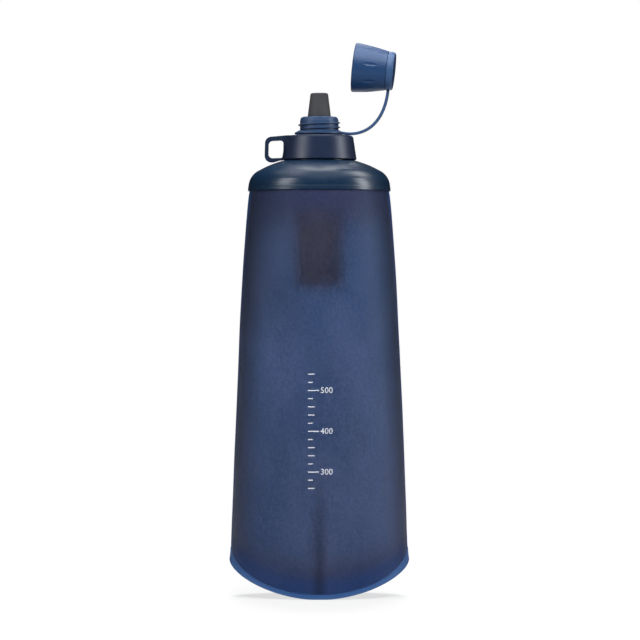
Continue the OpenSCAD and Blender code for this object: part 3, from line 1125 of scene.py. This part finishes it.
@dataclass
class Tether:
    """The strap between the ring on the spout and the ring on the cap, in millimetres."""

    thick: float = 1.4
    wide: float = 4.4
    tuck: float = 1.2
    cap_ring_at: float = 20.5
    cap_ring_r: float = 10.95
    first_pull: tuple[float, float] = (13.0094, -2.7652)
    last_pull: tuple[float, float] = (2.2668, 18.4614)
    corner: float = 0.35
    collar_shape: tuple[tuple[float, float], ...] = (
        (8.8, 18.9), (10.7, 18.9), (10.85, 19.0), (10.9, 19.15), (10.85, 21.0), (10.4, 22.4), (10.3, 22.57),
        (10.1, 22.65), (9.95, 22.65), (9.9, 22.6), (9.9, 22.1), (8.8, 22.1), (8.8, 18.9),
    )

    def _way(self) -> Vector:
        """The level direction that the strap leaves in."""
        _, axis = joint("cap_swing")
        return Vector((-axis.y, axis.x, 0)).normalized()

    def _world(self, out: float, z: float) -> Vector:
        """A point of the strap's plane in metres."""
        return (self._way() * out + Vector((0, 0, z))) * MM

    def _ends(self) -> tuple[tuple[float, float], tuple[float, float]]:
        """Where the strap leaves the two rings.

        Returns:
            Two places in its plane, each out from the axis and up, in millimetres.
        """
        low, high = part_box("tether_neck_ring")
        first = (high.x / MM - self.tuck, low.z / MM + self.thick / 2)
        mouth, axis = joint("cap_turn")
        out, tilt = mouth.xy.length / MM, math.asin(axis.z)
        along, across = self.cap_ring_at, self.cap_ring_r
        last = (
            out + along * math.cos(tilt) + across * math.sin(tilt),
            mouth.z / MM + along * math.sin(tilt) - across * math.cos(tilt),
        )
        return first, last

    def strap(self) -> Piece:
        """Models the strap along its hanging curve.

        Returns:
            The strap.
        """
        profile = Bench.add(bpy.ops.curve.primitive_bezier_circle_add, "strap_profile", radius=1.0)
        self._section(profile)
        piece = Bench.add(bpy.ops.curve.primitive_bezier_curve_add, "tether_band")
        curve = piece.data
        pulls = (self.first_pull, self.last_pull)
        for point, place, pull in zip(curve.splines[0].bezier_points, self._ends(), pulls):
            self._bend(point, self._world(*place), self._world(*pull))
        curve.dimensions = "3D"
        curve.twist_mode = "Z_UP"
        curve.resolution_u = 40
        curve.bevel_mode = "OBJECT"
        curve.bevel_object = profile
        curve.use_fill_caps = True
        Bench.take(piece)
        bpy.ops.object.convert(target="MESH")
        piece = bpy.context.active_object
        bpy.data.objects.remove(profile)
        Bench.outward(piece)
        return Bench.settle(piece, 50)

    def collar(self) -> Piece:
        """Models the ring on the hanging cap, tapered like the cap and flush with its end.

        Returns:
            The ring.
        """
        rows = len(self.collar_shape) - 1

        def place(turn: float, up: float) -> Vector:
            """A point of the ring, up from 0 at the outline's first corner to 1 at its last."""
            radius, z = self.collar_shape[round(up * rows)]
            return Vector((radius * math.cos(turn), radius * math.sin(turn), z)) * MM

        piece = Bench.loft("cap_collar", 96, rows, place)
        piece.data.transform(onto_cap())
        return Bench.settle(piece)

    @staticmethod
    def _bend(point: bpy.types.BezierSplinePoint, place: Vector, pull: Vector) -> None:
        """Places a curve's point, and its handles a pull behind and ahead of it."""
        point.handle_left_type = point.handle_right_type = "FREE"
        point.co, point.handle_left, point.handle_right = place, place - pull, place + pull

    def _section(self, profile: Piece) -> None:
        """Squares a round profile into the strap's rounded section.

        Args:
            profile: A circle of four points.
        """
        half_w, half_t = self.wide / 2, self.thick / 2
        along, across = half_w - self.corner, half_t + self.corner
        spline = profile.data.splines[0]
        corners = (
            ((-half_w, 0), (0, across)), ((0, half_t), (along, 0)),
            ((half_w, 0), (0, -across)), ((0, -half_t), (-along, 0)),
        )
        for point, (place, pull) in zip(spline.bezier_points, corners):
            self._bend(point, Vector((*place, 0)) * MM, Vector((*pull, 0)) * MM)
        spline.resolution_u = 6
        profile.data.dimensions = "2D"

    def build(self) -> None:
        """Models the strap and the cap's ring, and dresses the tether."""
        material = STRAP.make()
        strap = self.strap()
        Bench.keep_rest(strap)
        finished(strap, material, "tether")
        start, end = (self._world(*place) for place in self._ends())
        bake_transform(strap)
        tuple(start)
        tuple(end)
        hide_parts("tether_strap")
        dress(["tether_neck_ring"], TETHER.make())
        collar = self.collar()
        Bench.keep_rest(collar)
        finished(collar, material, "tether")
        bpy.data.collections[LIT].objects.link(collar)
        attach(collar, Body.CAP_RING.value)
        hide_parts("tether_cap_ring")


@dataclass
class Cap:
    """The screw cap, its inner thread turned onto the hanging cap's axis, in millimetres."""

    bore_r: float = 12.75
    pitch: float = 2.6
    thread_from: float = 2.2

    def build(self) -> None:
        """Dresses the cap and adds its thread."""
        material = CAP.make()
        dress(["cap_shell"], material)
        bpy.data.collections[LIT].objects.link(frame["nodes"]["cap_shell"])
        thread = Thread(
            "cap_thread", self.bore_r, self.pitch, turns=1.6, start_turn=0.0, start_z=self.thread_from,
            height=0.5, width=1.2, side=Side.INSIDE,
        ).build()
        thread.data.transform(onto_cap())
        finished(thread, material, "cap")
        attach(thread, Body.CAP.value)


@dataclass
class Filter:
    """The cartridge seen through the film."""

    housing: tuple[str, ...] = ("filter_head", "filter_housing", "filter_end_cap")

    def build(self) -> None:
        """Dresses the cartridge and what is inside it."""
        dress(self.housing, HOUSING.make())
        dress(["potting_plug"], POTTING.make())
        dress(["fibre_bundle"], FIBRE.make())


# ---------------- studio


def stand(name: str, data: bpy.types.ID, place: Sequence[float]) -> Piece:
    """Puts a lamp or a camera into the scene.

    Args:
        name: The object's name.
        data: The lamp's or camera's data.
        place: Where it stands.

    Returns:
        The object.
    """
    holder = bpy.data.objects.new(name, data)
    bpy.context.scene.collection.objects.link(holder)
    holder.location = place
    return holder


def around(azimuth: float, distance: float, z: float) -> tuple[float, float, float]:
    """A place round the bottle, the azimuth counted in degrees from the front towards +X."""
    turn = math.radians(azimuth)
    return distance * math.sin(turn), -distance * math.cos(turn), z


@dataclass(frozen=True)
class SoftBox:
    """A soft box, in metres and watts.

    It lights either gloss or matt faces. Its height runs along lean, and only names a new collection, outside
    which it lights nothing.
    """

    name: str
    place: Sequence[float]
    size: tuple[float, float]
    power: float
    lean: Sequence[float] = (0, 0, 1)
    aim: Sequence[float] = (0, 0, 0.17)
    gloss: bool = True
    only: str = ""

    def build(self) -> None:
        """Sets up the lamp."""
        lamp = bpy.data.lights.new(self.name, "AREA")
        lamp.shape = "RECTANGLE"
        lamp.size, lamp.size_y = self.size
        lamp.energy = self.power
        holder = stand(self.name, lamp, self.place)
        back = (Vector(self.place) - Vector(self.aim)).normalized()
        side = Vector(self.lean).cross(back).normalized()
        holder.rotation_euler = Matrix((side, back.cross(side), back)).transposed().to_euler()
        holder.visible_diffuse, holder.visible_glossy = not self.gloss, self.gloss
        if self.only:
            holder.light_linking.receiver_collection = bpy.data.collections.new(self.only)


LIGHTS = (
    SoftBox("softbox_left", around(-58, 1.5, 0.8), (0.6, 1.1), 14.0),
    SoftBox("softbox_right", around(77, 1.5, 0.62), (0.45, 1.1), 15.5),
    SoftBox("bank_left", (-0.46, -0.04, 1.43), (0.35, 0.8), 1.3, lean=(0.15, 0.5, 0.07)),
    SoftBox("bank_right", (0.8, 0.23, 1.22), (0.4, 0.7), 5.0, lean=(-0.42, 0.3, 0.25)),
    SoftBox("top_card", (0.03, 0.67, 1.2), (0.4, 1.1), 3.6, lean=(0, 1, 0)),
    SoftBox("cap_card", (0.14, -0.415, 1.31), (1.2, 1.2), 38.0, aim=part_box("cap_shell")[0], only=LIT),
    SoftBox("overhead", (0.0, 0.6, 1.35), (0.6, 0.6), 16.0, gloss=False),
    SoftBox("bounce_front", around(8, 1.25, 1.3), (1.2, 0.9), 28.0, gloss=False),
)


@dataclass
class Studio:
    """A pale floor, soft lights and the camera, in metres but for the sensor's width."""

    distance: float = 2.072
    eye: float = 0.1543
    span: float = 0.3584
    side: float = 0.0004
    sensor: float = 36.0
    floor_size: float = 60.0
    floor_z: float = -0.0002
    floor_glow: float = 0.7
    floor_matt: float = 0.3
    near_r: float = 0.75
    near_fade: float = 0.7
    flag_r: float = 1.95
    flag_h: float = 2.6
    flag_z: float = 1.2
    air: float = 0.14

    def floor(self) -> None:
        """The floor, white with the object's soft shadow near it and plain white further out."""
        where = (0, 0, self.floor_z)
        piece = Bench.add(
            bpy.ops.mesh.primitive_plane_add, "studio_floor", size=self.floor_size, location=where
        )
        with Bench.editing(piece, "FACE"):
            bpy.ops.mesh.select_all(action="SELECT")
            bpy.ops.mesh.subdivide(number_cuts=3)
        recipe = Recipe("studio_paper")
        place = recipe.place(False)
        grey = recipe.mix(recipe.noise(place, 30.0) * 0.1, (0.42, 0.42, 0.43), (0.38, 0.38, 0.39))
        paper = recipe.node("ShaderNodeBsdfDiffuse", inputs={"Color": grey})
        glow = recipe.node("ShaderNodeEmission", inputs={"Color": WHITE, "Strength": self.floor_glow})
        matt = recipe.node("ShaderNodeBsdfDiffuse", inputs={"Color": (self.floor_matt,) * 3 + (1,)})
        white = recipe.node("ShaderNodeEmission", inputs={"Color": WHITE, "Strength": 1.0})
        near = recipe.node("ShaderNodeAddShader", inputs={0: glow, 1: matt})
        reach = recipe.node("ShaderNodeVectorMath", {"operation": "LENGTH"}, {0: place}, "Value")
        seen = recipe.either(reach.below(self.near_r, self.near_fade), white, near)
        piece.data.materials.append(recipe.finish(recipe.either(self._white_ray(recipe), paper, seen)))

    def flags(self) -> None:
        """Black cards all round, open at the top, that only reflections see."""
        piece = Bench.add(
            bpy.ops.mesh.primitive_cylinder_add, "studio_flags", vertices=48, radius=self.flag_r,
            depth=self.flag_h, end_fill_type="NOTHING", location=(0, 0, self.flag_z),
        )
        recipe = Recipe("studio_card")
        felt = recipe.noise(recipe.place(False), 40.0)
        card = {"Color": recipe.mix(felt * 0.2, (0.02, 0.02, 0.022), (0.03, 0.03, 0.034))}
        piece.data.materials.append(recipe.finish(recipe.node("ShaderNodeBsdfDiffuse", inputs=card)))
        for ray in ("camera", "diffuse", "transmission", "shadow", "volume_scatter"):
            setattr(piece, "visible_" + ray, False)

    @staticmethod
    def _white_ray(recipe: Recipe) -> Value:
        """Tells rays that show the background: from the camera, reflected or through a clear wall.

        Args:
            recipe: The tree that asks.

        Returns:
            1 for such a ray and 0 for the others.
        """
        camera = recipe.node("ShaderNodeLightPath", output="Is Camera Ray")
        outputs = camera.socket.node.outputs
        glossy, through = (Value(recipe, outputs[f"Is {ray} Ray"]) for ray in ("Glossy", "Transmission"))
        rays = camera + glossy + through
        return recipe.node("ShaderNodeMath", {"operation": "MINIMUM"}, {0: rays, 1: 1.0})

    def world(self) -> None:
        """White where it is seen, and a low even light elsewhere."""
        recipe = Recipe("studio_air", "worlds")
        low = {"Color": (0.93, 0.96, 1.0, 1), "Strength": self.air}
        soft = recipe.node("ShaderNodeBackground", inputs=low)
        white = recipe.node("ShaderNodeBackground", inputs={"Color": WHITE, "Strength": 1.0})
        shader = recipe.either(self._white_ray(recipe), soft, white)
        bpy.context.scene.world = recipe.finish(shader, "World")

    def camera(self) -> None:
        """The camera, level with the middle of the bottle."""
        lens = bpy.data.cameras.new("studio_camera")
        lens.sensor_width = self.sensor
        lens.lens = self.sensor * self.distance / self.span
        lens.clip_end = 30.0
        holder = stand("studio_camera", lens, (self.side, -self.distance, self.eye))
        holder.rotation_euler = (math.pi / 2, 0, 0)
        bpy.context.scene.camera = holder

    def build(self) -> None:
        """Sets up the studio."""
        bpy.context.scene.view_settings.view_transform = "Standard"
        self.camera()
        self.floor()
        self.world()
        self.flags()
        for box in LIGHTS:
            box.build()


def main() -> None:
    """Builds the studio and the bottle's sub-assemblies in order."""
    logging.basicConfig(level=logging.INFO, format="%(name)s %(message)s")
    for part in (Studio(), Pouch(), Closure(), Tether(), Cap(), Filter()):
        part.build()
        log.info("%s done", type(part).__name__)
    Bench.clear()


if __name__ == "__main__":
    main()
